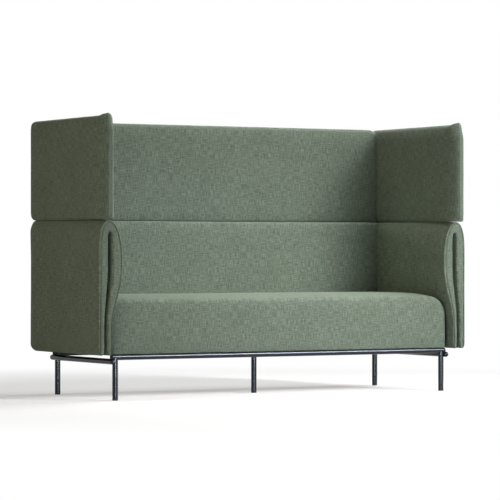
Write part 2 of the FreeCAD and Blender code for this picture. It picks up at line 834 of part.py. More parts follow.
beam_x = platform_half - beam_inset
beam_front = platform_front + beam_inset
beam_rear = seat_rear_y - beam_inset
inner_front = beam_front + beam_thickness
inner_rear = beam_rear - beam_thickness
save("seat_front_beam", box(-beam_x, beam_x, beam_front, inner_front, platform_top, beam_top))
save("seat_rear_beam", box(-beam_x, beam_x, inner_rear, beam_rear, platform_top, beam_top))
end_beam = box(beam_x - beam_thickness, beam_x, inner_front, inner_rear, platform_top, beam_top)
half_beam = beam_thickness / 2
cross_beam = box(cross_beam_x - half_beam, cross_beam_x + half_beam, inner_front, inner_rear,
                 platform_top, beam_top)
save("seat_short_beams", Part.makeCompound(both_sides([end_beam, cross_beam])))
straps = []
strap_pitch = (2 * beam_x - webbing_width) / webbing_count
for x in spaced(webbing_count, strap_pitch):
    strap = box(x - webbing_width / 2, x + webbing_width / 2, beam_front, beam_rear,
                beam_top, beam_top + webbing_thickness)
    straps.append(strap)
save("seat_webbing", Part.makeCompound(straps))

platform_room = box(-platform_half - fit_gap, platform_half + fit_gap, platform_front - fit_gap,
                    platform_rear + fit_gap, below, platform_top)
seat_box = box(-beam_x, beam_x, beam_front, beam_rear, below, beam_top + webbing_thickness)
seat_cover = seat_form(0.0, rail_top).cut(seat_form(skin, below)).cut(platform_room)
save("seat_cover", seat_cover)
seat_foam = seat_form(foam_inset, rail_top).cut(seat_box).cut(platform_room)
save("seat_foam", seat_foam)

# Lower back: a board between a deep front foam and a thin rear one.
lower_board = box(-lower_half + back_board_skin, lower_half - back_board_skin, lower_board_y,
                  lower_board_y + back_board, lower_edge + board_margin, lower_high - board_margin)
save("lower_back_board", cut_all(lower_board, back_bar_pockets + back_bracket_pockets))
back_room = platform_room.fuse(box(-platform_half, platform_half, lower_back_y - join_overlap,
                                   platform_rear + fit_gap, below, platform_top + fit_gap))
lower_cover = lower_back_form(0.0).cut(lower_back_form(skin))
lower_cover = cut_all(lower_cover, [back_room] + back_bracket_blanks + back_bracket_pockets + back_bar_blanks)
save("lower_back_cover", lower_cover)
lower_cuts = [back_room, lower_board] + back_bracket_blanks + back_bar_blanks
lower_foam = cut_all(lower_back_form(foam_inset), lower_cuts)
lower_foam = cut_all(lower_foam, back_bracket_pockets + back_bar_pockets)
lower_middle = lower_board_y + back_board / 2
rear_half = box(-half_width, half_width, lower_middle, 2 * rear_y, below, panel_top)
save("lower_back_front_foam", lower_foam.cut(rear_half))
save("lower_back_rear_foam", lower_foam.common(rear_half))

# Upper back: a thinner board with foam on both faces.
upper_board_y = back_bar_y - panel_board
upper_board = box(-upper_half + board_margin, upper_half - board_margin, upper_board_y, back_bar_y,
                  upper_low + board_margin, panel_top - board_margin)
save("upper_back_board", cut_all(upper_board, back_bar_pockets))
upper_cover = upper_back_form(0.0).cut(upper_back_form(skin))
save("upper_back_cover", cut_all(upper_cover, back_bar_blanks))
upper_foam = cut_all(upper_back_form(foam_inset), [upper_board] + back_bar_blanks + back_bar_pockets)
upper_middle = upper_board_y + panel_board / 2
upper_rear_half = box(-half_width, half_width, upper_middle, 2 * rear_y, below, 2 * panel_top)
save("upper_back_front_foam", upper_foam.cut(upper_rear_half))
save("upper_back_rear_foam", upper_foam.common(upper_rear_half))

# Side screens, each with its board off centre so that it lies against the link bars.
screen_board_x = high_bar_x - panel_board
screen_board = box(screen_board_x, high_bar_x, front_y + nose_run + board_margin, rear_y - board_margin,
                   upper_low + board_margin, panel_top - board_margin)
save_pair("screen_board", cut_all(screen_board, side_bar_pockets))
screen_cover = screen_form(0.0).cut(screen_form(skin))
save_pair("screen_cover", cut_all(screen_cover, side_bar_blanks))
screen_foam = cut_all(screen_form(foam_inset), [screen_board] + side_bar_blanks + side_bar_pockets)
screen_middle = screen_board_x + panel_board / 2
screen_outer_half = box(screen_middle, 2 * half_width, 2 * front_y, 2 * rear_y, below, 2 * panel_top)
save_pair("screen_inner_foam", screen_foam.cut(screen_outer_half))
save_pair("screen_outer_foam", screen_foam.common(screen_outer_half))

# Arms: a flat outer board, a bent inner board, a rear post between them, two foam leaves and one cover.
slot_end = lower_back_y - fit_gap
slot_top = arm_top - slot_top_drop
arm_cut_front = front_y - cut_room
rail_room = rod(rail_point(0, rear_leg_y), rail_point(leg_x + tube_diameter + fit_gap, rear_leg_y),
                tube_radius + fit_gap)


def arm_body(inset):
    slot = slot_band(slot_width + 2 * inset, arm_cut_front, slot_end + inset, slot_top + inset)
    return arm_form(inset).cut(slot)


arm_shell = arm_body(0.0)
arm_hollow = arm_body(skin)
arm_foam = arm_body(foam_inset).cut(rail_room)
arm_parting = slot_band(fit_gap, arm_cut_front, 2 * rear_y, 2 * arm_top)

outer_board = box(arm_board_x, arm_board_x + panel_board, arm_front_y + board_margin, rear_y - board_margin,
                  lower_edge + board_margin, arm_top - fold_outer_drop + board_margin)


def inner_board_ring(level, share, grow):
    arcs = arm_arcs(share)
    near = inner_board_skin - grow
    far = inner_board_skin + inner_board_thickness + grow
    upper_arc = arcs[5]
    lower_arc = arcs[6]
    low = lower_edge + board_margin - grow
    high = blended(bulge_height, rear_face_foot, share) + board_margin + grow
    near_points = arc_points(level, upper_arc, near) + arc_points(level, lower_arc, near)
    far_points = arc_points(level, upper_arc, far) + arc_points(level, lower_arc, far)
    near_top = Vec(near_points[0].x, level, high)
    far_top = Vec(far_points[0].x, level, high)
    near_foot = Vec(near_points[5].x, level, low)
    far_foot = Vec(far_points[5].x, level, low)
    edges = [
        line_edge(far_top, near_top),
        line_edge(near_top, near_points[0]),
        arc_edge(near_points[0], near_points[1], near_points[2]),
        arc_edge(near_points[3], near_points[4], near_points[5]),
        line_edge(near_points[5], near_foot),
        line_edge(near_foot, far_foot),
        line_edge(far_foot, far_points[5]),
        arc_edge(far_points[5], far_points[4], far_points[3]),
        arc_edge(far_points[2], far_points[1], far_points[0]),
        line_edge(far_points[0], far_top),
    ]
    return Part.Wire(edges)


def inner_board(grow):
    front_ring = inner_board_ring(arm_front_y + arm_front_radius, 0.0, grow)
    rear_ring = inner_board_ring(lower_back_y, 1.0, grow)
    blank = Part.makeLoft([front_ring, rear_ring], True, True)
    trim = box(0, half_width, front_y, arm_front_y + board_margin - grow, below, arm_top)
    return blank.cut(trim)


board_cuts = arm_bolt_pockets + arm_tee_pockets
inner_board_solid = cut_all(inner_board(0.0), board_cuts)
save_pair("arm_inner_board", inner_board_solid)
save_pair("arm_outer_board", cut_all(outer_board, side_bar_pockets))
post_low = rear_face_head - post_height
post_inner = half_width - arm_rear_thickness + inner_board_skin + inner_board_thickness
post = box(post_inner, arm_board_x, rear_y - board_margin - post_run, rear_y - board_margin, post_low,
           arm_top - fold_outer_drop)
save("arm_posts", Part.makeCompound(both_sides([post])))

arm_cover = cut_all(arm_shell.cut(arm_hollow), side_bar_blanks + arm_bolt_pockets + [rail_room])
save_pair("arm_cover", arm_cover)
foam_cuts = [outer_board, inner_board(fit_gap), post] + side_bar_blanks + side_bar_pockets + board_cuts
arm_foam = cut_all(arm_foam, foam_cuts).cut(arm_parting)
leaves = sorted(arm_foam.Solids, key=lambda solid: solid.Volume)[-2:]
leaves.sort(key=lambda solid: solid.CenterOfMass.x)
save_pair("arm_inner_foam", leaves[0])
save_pair("arm_outer_foam", leaves[1])
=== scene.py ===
import bpy
import math
import numpy as np
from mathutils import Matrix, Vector, noise


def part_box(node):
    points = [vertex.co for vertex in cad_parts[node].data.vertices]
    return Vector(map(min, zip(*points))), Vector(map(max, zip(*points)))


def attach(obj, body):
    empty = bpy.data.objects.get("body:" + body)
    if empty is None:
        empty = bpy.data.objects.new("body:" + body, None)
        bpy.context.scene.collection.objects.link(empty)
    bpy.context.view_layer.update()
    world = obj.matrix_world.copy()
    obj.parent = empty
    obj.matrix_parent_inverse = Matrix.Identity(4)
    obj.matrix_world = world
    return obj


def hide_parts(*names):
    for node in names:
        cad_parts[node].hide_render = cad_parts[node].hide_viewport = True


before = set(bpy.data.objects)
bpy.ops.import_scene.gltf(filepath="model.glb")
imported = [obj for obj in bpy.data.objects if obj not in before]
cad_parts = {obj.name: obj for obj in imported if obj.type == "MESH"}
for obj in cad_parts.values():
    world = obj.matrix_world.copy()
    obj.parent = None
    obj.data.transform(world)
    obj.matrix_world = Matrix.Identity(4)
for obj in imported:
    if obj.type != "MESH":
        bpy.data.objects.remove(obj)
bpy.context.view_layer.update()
mm = 0.001  # sizes below are in millimetres, meshes in metres
rootBody = "sofa"
print("frame loaded:", len(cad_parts), "nodes")


# colours and nodes

def hexColour(code):
    # sRGB hex to linear RGBA
    channels = [int(code[i:i + 2], 16) / 255 for i in (0, 2, 4)]
    linear = [c / 12.92 if c <= 0.04045 else ((c + 0.055) / 1.055) ** 2.4 for c in channels]
    return (*linear, 1.0)


def addNode(tree, kind, links=None, **settings):
    # one node with its settings, and its inputs linked or set
    node = tree.nodes.new(kind)
    for name, value in settings.items():
        setattr(node, name, value)
    for socket, source in (links or {}).items():
        if isinstance(source, bpy.types.NodeSocket):
            tree.links.new(source, node.inputs[socket])
        else:
            node.inputs[socket].default_value = source
    return node


def newMaterial(name):
    material = bpy.data.materials.new(name)
    material.use_nodes = True
    tree = material.node_tree
    tree.nodes.clear()
    shader = addNode(tree, "ShaderNodeBsdfPrincipled")
    addNode(tree, "ShaderNodeOutputMaterial", {"Surface": shader.outputs["BSDF"]})
    return material, tree, shader


def setRamp(ramp, stops):
    # stops are (place, linear colour)
    elements = ramp.color_ramp.elements
    while len(elements) < len(stops):
        elements.new(0.5)
    for element, (place, colour) in zip(elements, stops):
        element.position = place
        element.color = colour


# wool upholstery cloth, woven from melange yarn: a grey green with short light and dark slubs both ways
# sizes are in mm, and the yarn and its slubs are drawn coarser than the real ones so that they show
woolCloth = {
    "shade": "576155", "middle": "6F7B6E", "light": "879485", "tonePlaces": (0.34, 0.5, 0.66),
    "yarnPitch": 2.4,  # the real one is about 1.2
    "slubWidth": 2.8, "slubLength": 36.0, "uprightShare": 0.55,
    "mottleWidth": 10.0, "mottleLength": 26.0, "mottleShare": 0.02,
    "cloudSize": 140.0, "cloudShare": 0.04,
    "yarnRelief": 0.35, "yarnDepth": 0.4, "slubRelief": 0.3, "slubDepth": 1.2,
}


def woolMaterial(name, spec):
    material, tree, shader = newMaterial(name)
    uv = addNode(tree, "ShaderNodeUVMap", uv_map="cloth")

    def fleck(width, length):
        # noise drawn out along one thread direction
        mapping = addNode(tree, "ShaderNodeMapping", {
            "Vector": uv.outputs["UV"], "Scale": (1000 / width, 1000 / length, 1.0)})
        cells = addNode(tree, "ShaderNodeTexNoise", {
            "Vector": mapping.outputs["Vector"], "Scale": 1.0, "Detail": 2.0, "Roughness": 0.6},
            noise_dimensions="2D")
        return cells.outputs["Fac"]

    def blend(first, second, share):
        return addNode(tree, "ShaderNodeMix", {0: share, 2: first, 3: second}).outputs[0]

    slubWidth, slubLength = spec["slubWidth"], spec["slubLength"]
    slubs = blend(fleck(slubLength, slubWidth), fleck(slubWidth, slubLength), spec["uprightShare"])
    flecks = blend(slubs, fleck(spec["mottleWidth"], spec["mottleLength"]), spec["mottleShare"])
    cloud = addNode(tree, "ShaderNodeTexNoise", {
        "Vector": uv.outputs["UV"], "Scale": 1000 / spec["cloudSize"], "Detail": 3.0}, noise_dimensions="2D")
    cloudLow = addNode(tree, "ShaderNodeMapRange", {
        "Value": cloud.outputs["Fac"], "To Min": -spec["cloudShare"], "To Max": spec["cloudShare"]})
    mixed = addNode(tree, "ShaderNodeMath", {0: flecks, 1: cloudLow.outputs["Result"]}, operation="ADD")
    ramp = addNode(tree, "ShaderNodeValToRGB", {"Fac": mixed.outputs[0]})
    tones = [hexColour(spec[tone]) for tone in ("shade", "middle", "light")]
    setRamp(ramp, list(zip(spec["tonePlaces"], tones)))
    tree.links.new(ramp.outputs["Color"], shader.inputs["Base Color"])

    waveScale = 1000 / spec["yarnPitch"] / 20 * math.pi  # one wave to each pair of yarns
    yarns = []
    for direction in ("X", "Y"):
        yarn = addNode(tree, "ShaderNodeTexWave", {
            "Vector": uv.outputs["UV"], "Scale": waveScale, "Distortion": 0.6,
            "Detail": 1.0, "Detail Scale": 0.4},
            wave_type="BANDS", bands_direction=direction, wave_profile="SIN")
        yarns.append(yarn.outputs["Fac"])
    weave = addNode(tree, "ShaderNodeMath", {0: yarns[0], 1: yarns[1]}, operation="MULTIPLY")
    yarnBump = addNode(tree, "ShaderNodeBump", {
        "Height": weave.outputs[0], "Strength": spec["yarnRelief"], "Distance": spec["yarnDepth"] * mm})
    slubBump = addNode(tree, "ShaderNodeBump", {
        "Height": slubs, "Strength": spec["slubRelief"], "Distance": spec["slubDepth"] * mm,
        "Normal": yarnBump.outputs["Normal"]})
    tree.links.new(slubBump.outputs["Normal"], shader.inputs["Normal"])
    shader.inputs["Roughness"].default_value = 0.92
    shader.inputs["Specular IOR Level"].default_value = 0.15
    shader.inputs["Sheen Weight"].default_value = 0.25
    shader.inputs["Sheen Roughness"].default_value = 0.5
    shader.inputs["Sheen Tint"].default_value = hexColour("C6D2C4")
    return material


# spun polyester thread, a shade lighter than the cloth
sewingThread = {"shade": "7E8B7A", "light": "93A08F", "twistsPerMetre": 900.0}
noiseEnds = (0.35, 0.65)  # where a noise reaches its dark and its light tone


def threadMaterial(name, spec):
    material, tree, shader = newMaterial(name)
    coords = addNode(tree, "ShaderNodeTexCoord")
    twist = addNode(tree, "ShaderNodeTexNoise", {
        "Vector": coords.outputs["Object"], "Scale": spec["twistsPerMetre"]})
    ramp = addNode(tree, "ShaderNodeValToRGB", {"Fac": twist.outputs["Fac"]})
    setRamp(ramp, list(zip(noiseEnds, (hexColour(spec["shade"]), hexColour(spec["light"])))))
    tree.links.new(ramp.outputs["Color"], shader.inputs["Base Color"])
    shader.inputs["Roughness"].default_value = 0.6
    return material


# a hard finish with a fine grain: colour, roughness and relief each vary a little with the grain
grainDepth = 0.2  # mm


def grainMaterial(name, dark, light, grainSize, roughness, spread, relief, metallic=0.0, stretch=(1, 1, 1),
                  shine=0.5, shineTint="FFFFFF"):
    material, tree, shader = newMaterial(name)
    coords = addNode(tree, "ShaderNodeTexCoord")
    mapping = addNode(tree, "ShaderNodeMapping", {"Vector": coords.outputs["Object"], "Scale": stretch})
    grain = addNode(tree, "ShaderNodeTexNoise", {
        "Vector": mapping.outputs["Vector"], "Scale": 1000 / grainSize, "Detail": 4.0})
    ramp = addNode(tree, "ShaderNodeValToRGB", {"Fac": grain.outputs["Fac"]})
    setRamp(ramp, list(zip(noiseEnds, (hexColour(dark), hexColour(light)))))
    tree.links.new(ramp.outputs["Color"], shader.inputs["Base Color"])
    rough = addNode(tree, "ShaderNodeMapRange", {
        "Value": grain.outputs["Fac"], "To Min": roughness - spread, "To Max": roughness + spread})
    tree.links.new(rough.outputs["Result"], shader.inputs["Roughness"])
    bump = addNode(tree, "ShaderNodeBump", {
        "Height": grain.outputs["Fac"], "Strength": relief, "Distance": grainDepth * mm})
    tree.links.new(bump.outputs["Normal"], shader.inputs["Normal"])
    shader.inputs["Metallic"].default_value = metallic
    shader.inputs["Specular IOR Level"].default_value = shine
    shader.inputs["Specular Tint"].default_value = hexColour(shineTint)
    return material


# after its name each hard finish has a dark and a light tone, its grain in mm, roughness, spread and relief
finishes = {
    "upholstery_fabric": woolMaterial("woven wool melange", woolCloth),
    # satin black powder coat: nearly black, with a tight bright highlight along each tube
    "powder_coated_steel": grainMaterial("black satin powder coat", "040506", "08090A", 1.5, 0.17, 0.03, 0.04,
                                         shine=0.3, shineTint="E4ECFA"),
    # moulded nylon: dull black with a soft highlight
    "black_nylon": grainMaterial("moulded black nylon", "0C0D0E", "141516", 2.0, 0.5, 0.06, 0.12),
    # zinc plate: pale bluish metal, a little cloudy
    "zinc_plated_steel": grainMaterial("zinc plated steel", "A9AEB2", "C3C8CB", 6.0, 0.36, 0.06, 0.05,
                                       metallic=1.0),
    # birch plywood: pale, with long fine grain
    "plywood": grainMaterial("birch plywood", "B99868", "D3B78A", 9.0, 0.6, 0.08, 0.2,
                             stretch=(0.08, 1, 1)),
    # planed spruce: pale straw, with grain along the beam
    "softwood": grainMaterial("planed spruce", "C39E66", "DDC08E", 7.0, 0.62, 0.08, 0.2,
                              stretch=(0.06, 1, 1)),
    # cut polyurethane foam: pale and open celled
    "polyurethane_foam": grainMaterial("cut polyurethane foam", "D8D2B6", "EAE5CC", 2.5, 0.95, 0.03, 0.5),
    # woven rubber and polyester strap: black with a cross rib
    "elastic_webbing": grainMaterial("elastic webbing", "17181A", "26282A", 3.0, 0.8, 0.05, 0.5,
                                     stretch=(1, 0.2, 1)),
}
threadFinish = threadMaterial("spun polyester thread", sewingThread)
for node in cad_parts.values():
    for index, old in enumerate(node.data.materials):
        node.data.materials[index] = finishes[old.name.split(".")[0]]
print("materials made:", len(bpy.data.materials))


# padded forms: two faces and the edge band between them, on a lattice of stops
# a and b run over the face, side is 1 on the front face, -1 on the back face and between them on the band

def ringStops(radius, count):
    # offsets from an edge that step evenly round a quarter circle
    return [radius * (1 - math.cos(math.pi / 2 * k / count)) for k in range(count + 1)]


def edgeToEdge(low, high, lowOffsets, highOffsets, cell):
    start = low + lowOffsets[-1]
    end = high - highOffsets[-1]
    count = max(1, round((end - start) / cell))
    middle = [start + (end - start) * k / count for k in range(1, count)]
    return np.array([low + o for o in lowOffsets] + middle + [high - o for o in reversed(highOffsets)])


def latticePad(name, aStops, bStops, bandSides, place):
    # place turns arrays a, b, side into points in millimetres
    na, nb = len(aStops), len(bStops)
    gridA, gridB = np.meshgrid(aStops, bStops, indexing="ij")
    front = np.arange(na * nb).reshape(na, nb)
    back = front + na * nb
    rim = [(i, 0) for i in range(na)] + [(na - 1, j) for j in range(1, nb)]
    rim += [(i, nb - 1) for i in range(na - 2, -1, -1)] + [(0, j) for j in range(nb - 2, 0, -1)]
    rimI = np.array([p[0] for p in rim])
    rimJ = np.array([p[1] for p in rim])
    loops = [front[rimI, rimJ]]
    a = [gridA.ravel(), gridA.ravel()]
    b = [gridB.ravel(), gridB.ravel()]
    side = [np.ones(na * nb), -np.ones(na * nb)]
    total = 2 * na * nb
    for level in bandSides:
        loops.append(np.arange(total, total + len(rim)))
        a.append(aStops[rimI])
        b.append(bStops[rimJ])
        side.append(np.full(len(rim), level))
        total += len(rim)
    loops.append(back[rimI, rimJ])
    a, b, side = np.concatenate(a), np.concatenate(b), np.concatenate(side)

    quads = []
    uvs = []
    for i in range(na - 1):
        for j in range(nb - 1):
            corners = [(i, j), (i + 1, j), (i + 1, j + 1), (i, j + 1)]
            flat = [(aStops[p], bStops[q]) for p, q in corners]
            quads.append([front[p, q] for p, q in corners])
            uvs.append(flat)
            quads.append([back[p, q] for p, q in reversed(corners)])
            uvs.append(flat[::-1])
    centre = (aStops[[na // 2]], bStops[[nb // 2]])
    thickness = np.linalg.norm(place(*centre, np.ones(1)) - place(*centre, -np.ones(1)))
    sides = [1.0] + list(bandSides) + [-1.0]
    around = len(rim)
    for k in range(around):
        n = (k + 1) % around
        outA = np.sign(rimI[k] + rimI[n] - 1) if rimI[k] == rimI[n] and rimI[k] in (0, na - 1) else 0
        outB = np.sign(rimJ[k] + rimJ[n] - 1) if not outA else 0
        for level in range(len(sides) - 1):
            quads.append([loops[level][n], loops[level][k], loops[level + 1][k], loops[level + 1][n]])
            corner = []
            for q, s in ((n, level), (k, level), (k, level + 1), (n, level + 1)):
                reach = (1 - sides[s]) / 2 * thickness
                corner.append((aStops[rimI[q]] + outA * reach, bStops[rimJ[q]] + outB * reach))
            uvs.append(corner)

    points = place(a, b, side) * mm
    mesh = bpy.data.meshes.new(name)
    mesh.from_pydata(points.tolist(), [], quads)
    layer = mesh.uv_layers.new(name="cloth")
    layer.data.foreach_set("uv", (np.array(uvs).reshape(-1) * mm).astype(np.float32))
    mesh.update()
    piece = bpy.data.objects.new(name, mesh)
    bpy.context.scene.collection.objects.link(piece)
    return {"object": piece, "a": a, "b": b, "side": side, "bScale": 1.0}


def roundCorners(a, b, aRange, bRange, radii):
    # squares at the corners become quarter discs; radii are keyed by (a end, b end)
    newA, newB = a.copy(), b.copy()
    for (endA, endB), radius in radii.items():
        edgeA, edgeB = aRange[endA], bRange[endB]
        signA, signB = (1, -1)[endA], (1, -1)[endB]
        x = radius - signA * (a - edgeA)
        y = radius - signB * (b - edgeB)
        inside = (x > 0) & (y > 0)
        share = np.maximum(x, y) / np.maximum(np.hypot(x, y), 1e-9)
        newA = np.where(inside, edgeA + signA * (radius - x * share), newA)
        newB = np.where(inside, edgeB + signB * (radius - y * share), newB)
    return newA, newB


def quarterDepth(distance, radius):
    rest = np.clip(radius - distance, 0, radius)
    return radius - np.sqrt(radius ** 2 - rest ** 2)


def crownDepth(distance, depth, run):
    rest = np.clip(1 - distance / run, 0, 1)
    return depth * (1 - np.sqrt(1 - rest ** 2))


def faceDepth(distances, radii, crown, run):
    # how far a padded face lies back from its highest level, near its four edges
    edge = np.maximum.reduce([quarterDepth(d, r) for d, r in zip(distances, radii)])
    swell = 1 - np.prod([1 - crownDepth(d, 1.0, run) for d in distances], axis=0)
    return edge + crown * swell * (1 - edge / max(radii))


# upper and lower back: one form at two sizes
backPads = {
    "upperBack": {"node": "upper_back_cover", "foams": ["upper_back_front_foam", "upper_back_rear_foam"],
                  "topCorner": 33.0, "bottomCorner": 5.0, "topRadius": 21.0, "footRadius": 10.0, "lift": 0.0},
    "lowerBack": {"node": "lower_back_cover", "foams": ["lower_back_front_foam", "lower_back_rear_foam"],
                  "topCorner": 5.0, "bottomCorner": 16.0, "topRadius": 15.0, "footRadius": 21.0,
                  "lift": 3.0},  # lifted clear of the rear rail
}
padEdge = {"radius": 21.0, "endRadius": 6.0, "steps": 5, "crown": 6.0, "run": 150.0, "cell": 15.0}


def nodeBox(nodeName):
    low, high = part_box(nodeName)
    return np.array(low) / mm, np.array(high) / mm


def backPad(name, spec):
    low, high = nodeBox(spec["node"])
    low[2] += spec["lift"]
    half = (high[1] - low[1]) / 2
    middle = (high[1] + low[1]) / 2
    radii = (padEdge["endRadius"], padEdge["endRadius"], spec["footRadius"], spec["topRadius"])
    endRing, _, footRing, topRing = (ringStops(radius, padEdge["steps"]) for radius in radii)
    aStops = edgeToEdge(low[0], high[0], endRing, endRing, padEdge["cell"])
    bStops = edgeToEdge(low[2], high[2], footRing, topRing, padEdge["cell"])
    corners = {(0, 0): spec["bottomCorner"], (1, 0): spec["bottomCorner"],
               (0, 1): spec["topCorner"], (1, 1): spec["topCorner"]}

    def place(a, b, side):
        distances = [a - low[0], high[0] - a, b - low[2], high[2] - b]
        depth = faceDepth(distances, radii, padEdge["crown"], padEdge["run"])
        x, z = roundCorners(a, b, (low[0], high[0]), (low[2], high[2]), corners)
        return np.stack([x, middle - side * (half - depth), z], axis=1)

    rows = max(3, round(2 * (half - max(radii)) / padEdge["cell"]))
    bandSides = [1 - 2 * k / rows for k in range(1, rows)]
    pad = latticePad(name, aStops, bStops, bandSides, place)
    pad["replaces"] = [spec["node"]] + spec["foams"]
    return pad


# side screen: padded panel with a tapered nose, a narrow front strip and a small pointed ear
screenPad = {
    "strip": 20.0, "stripFoot": 15.0, "stripTop": 60.0, "footDrop": 1.5,
    "tipWidth": 0.15, "tipLean": 25.0, "leanRun": 75.0, "tipCorner": 1.0,
    "noseRun": 62.0, "noseFullness": 1.7, "noseCrown": 0.3, "noseSteps": 7,
    "earHeight": 10.0, "earDrop": 7.6, "earRun": 60.0, "earFullness": 1.7, "earReach": 60.0,
    "rearCorner": 32.0, "footCorner": 26.0,
    "seamDepth": 3.2, "seamRun": 5.0, "seamStops": [0.0, 1.2, 2.5, 5.0, 8.0],
    "bandSides": [0.9, 0.45, 0.0, -0.45, -0.9],
}


def sidePad(name, sign):
    word = "right" if sign > 0 else "left"
    low, high = nodeBox(word + "_screen_cover")
    high[2] -= screenPad["earDrop"]  # the node's box reaches the ear's tip
    low[2] -= screenPad["footDrop"]
    half = (high[0] - low[0]) / 2
    middle = (high[0] + low[0]) / 2
    radius = padEdge["radius"]
    ring = ringStops(radius, padEdge["steps"])
    seamEnd = screenPad["seamStops"][-1]
    steps = screenPad["noseSteps"]
    noseStops = [seamEnd + (screenPad["noseRun"] - seamEnd) * k / steps for k in range(1, steps + 1)]
    noseRing = screenPad["seamStops"] + noseStops
    aStops = edgeToEdge(low[1], high[1], noseRing, ring, padEdge["cell"])
    bStops = edgeToEdge(low[2], high[2], ring, ring, padEdge["cell"])
    corners = {(0, 0): screenPad["footCorner"], (0, 1): screenPad["tipCorner"],
               (1, 0): screenPad["rearCorner"], (1, 1): screenPad["rearCorner"]}

    def place(a, b, side):
        fromFoot = 1 - np.clip((b - low[2]) / screenPad["stripFoot"], 0, 1)
        fromTop = 1 - np.clip((high[2] - b) / screenPad["stripTop"], 0, 1)
        # the strip is rounded off at its foot and runs out to a point at its top
        narrowing = np.minimum(np.sqrt(1 - fromFoot ** 2), 1 - fromTop)
        width = screenPad["tipWidth"] + (1 - screenPad["tipWidth"]) * narrowing
        noseDepth = half - screenPad["strip"] / 2 * width
        run = np.clip(1 - (a - low[1]) / screenPad["noseRun"], 0, 1)
        nose = noseDepth * run ** screenPad["noseFullness"]
        noEdge = np.full_like(a, np.inf)  # the nose shapes the front instead of a rounded edge
        distances = [noEdge, high[1] - a, b - low[2], high[2] - b]
        depth = faceDepth(distances, [radius] * 4, padEdge["crown"], padEdge["run"])
        nose = nose + padEdge["crown"] * screenPad["noseCrown"] * (1 - run)
        depth = np.minimum(np.maximum(depth, nose), noseDepth)
        seam = np.sin(math.pi * np.clip((a - low[1]) / screenPad["seamRun"], 0, 1))
        depth = depth + np.where(np.abs(side) == 1, screenPad["seamDepth"] * seam, 0)
        y, z = roundCorners(a, b, (low[1], high[1]), (low[2], high[2]), corners)
        ear = np.clip(1 - (a - low[1]) / screenPad["earRun"], 0, 1)
        weight = np.clip(1 - (high[2] - b) / screenPad["earReach"], 0, 1)
        z = z + screenPad["earHeight"] * ear ** screenPad["earFullness"] * weight ** 2
        y = y + screenPad["tipLean"] * fromTop * np.clip(1 - (a - low[1]) / screenPad["leanRun"], 0, 1)
        return np.stack([middle - sign * side * (half - depth), y, z], axis=1)

    pad = latticePad(name, aStops, bStops, screenPad["bandSides"], place)
    pad["replaces"] = [word + "_screen_cover", word + "_screen_inner_foam", word + "_screen_outer_foam"]
    return pad


# seat: one long bench cushion, drawn as an upright outline that runs from front to back
benchPad = {
    "borderDrop": 3.0, "borderWidth": 5.0, "lift": 10.0,
    "topCorner": 88.0, "footCorner": 10.0, "footEdge": 6.0, "footSteps": 3, "frontRadius": 22.0,
    "frontDrop": 17.0, "dropRun": 260.0, "frontSwell": 4.0, "swellRun": 130.0,
    "rearTaper": 12.0, "cell": 15.0,
}


def seatPad(name):
    low, high = nodeBox("seat_cover")
    low[2] -= benchPad["borderDrop"]
    radius = benchPad["frontRadius"]
    ring = ringStops(radius, padEdge["steps"])
    footRing = ringStops(benchPad["footCorner"], benchPad["footSteps"])
    aStops = edgeToEdge(low[0], high[0], ring, ring, benchPad["cell"])
    bStops = edgeToEdge(low[2], high[2], footRing, ring, benchPad["cell"])
    half = (high[1] - low[1]) / 2
    middle = (high[1] + low[1]) / 2
    corners = {(0, 0): benchPad["footCorner"], (1, 0): benchPad["footCorner"],
               (0, 1): benchPad["topCorner"], (1, 1): benchPad["topCorner"]}

    def place(a, b, side):
        fromEnds, fromFoot, fromTop = [a - low[0], high[0] - a], b - low[2], high[2] - b
        edge = quarterDepth(np.minimum.reduce(fromEnds + [fromTop]), radius)
        depth = np.maximum(edge, quarterDepth(fromFoot, benchPad["footEdge"]))
        distances = fromEnds + [fromFoot, fromTop]
        swell = np.prod([1 - crownDepth(d, 1.0, benchPad["swellRun"]) for d in distances], axis=0)
        depth = depth - np.where(side > 0, benchPad["frontSwell"] * swell, 0)
        x, z = roundCorners(a, b, (low[0], high[0]), (low[2], high[2]), corners)
        y = middle - side * (half - depth)
        fromFront = np.clip(1 - (y - low[1]) / benchPad["dropRun"], 0, 1)
        share = np.clip((b - low[2]) / (high[2] - low[2]), 0, 1)
        z = z - benchPad["frontDrop"] * fromFront ** 2 * share
        # the underside rises inside the platform, so only its wrapped border shows
        border = np.minimum.reduce(fromEnds + [y - low[1], high[1] - y])
        z = np.where((b == low[2]) & (border > benchPad["borderWidth"]), z + benchPad["lift"], z)
        x = x * (1 - benchPad["rearTaper"] / high[0] * (y - low[1]) / (high[1] - low[1]))
        return np.stack([x, y, z], axis=1)

    rows = round(2 * (half - radius) / benchPad["cell"])
    bandSides = [1 - 2 * k / rows for k in range(1, rows)]
    pad = latticePad(name, aStops, bStops, bandSides, place)
    pad["replaces"] = ["seat_cover", "seat_foam"]
    return pad


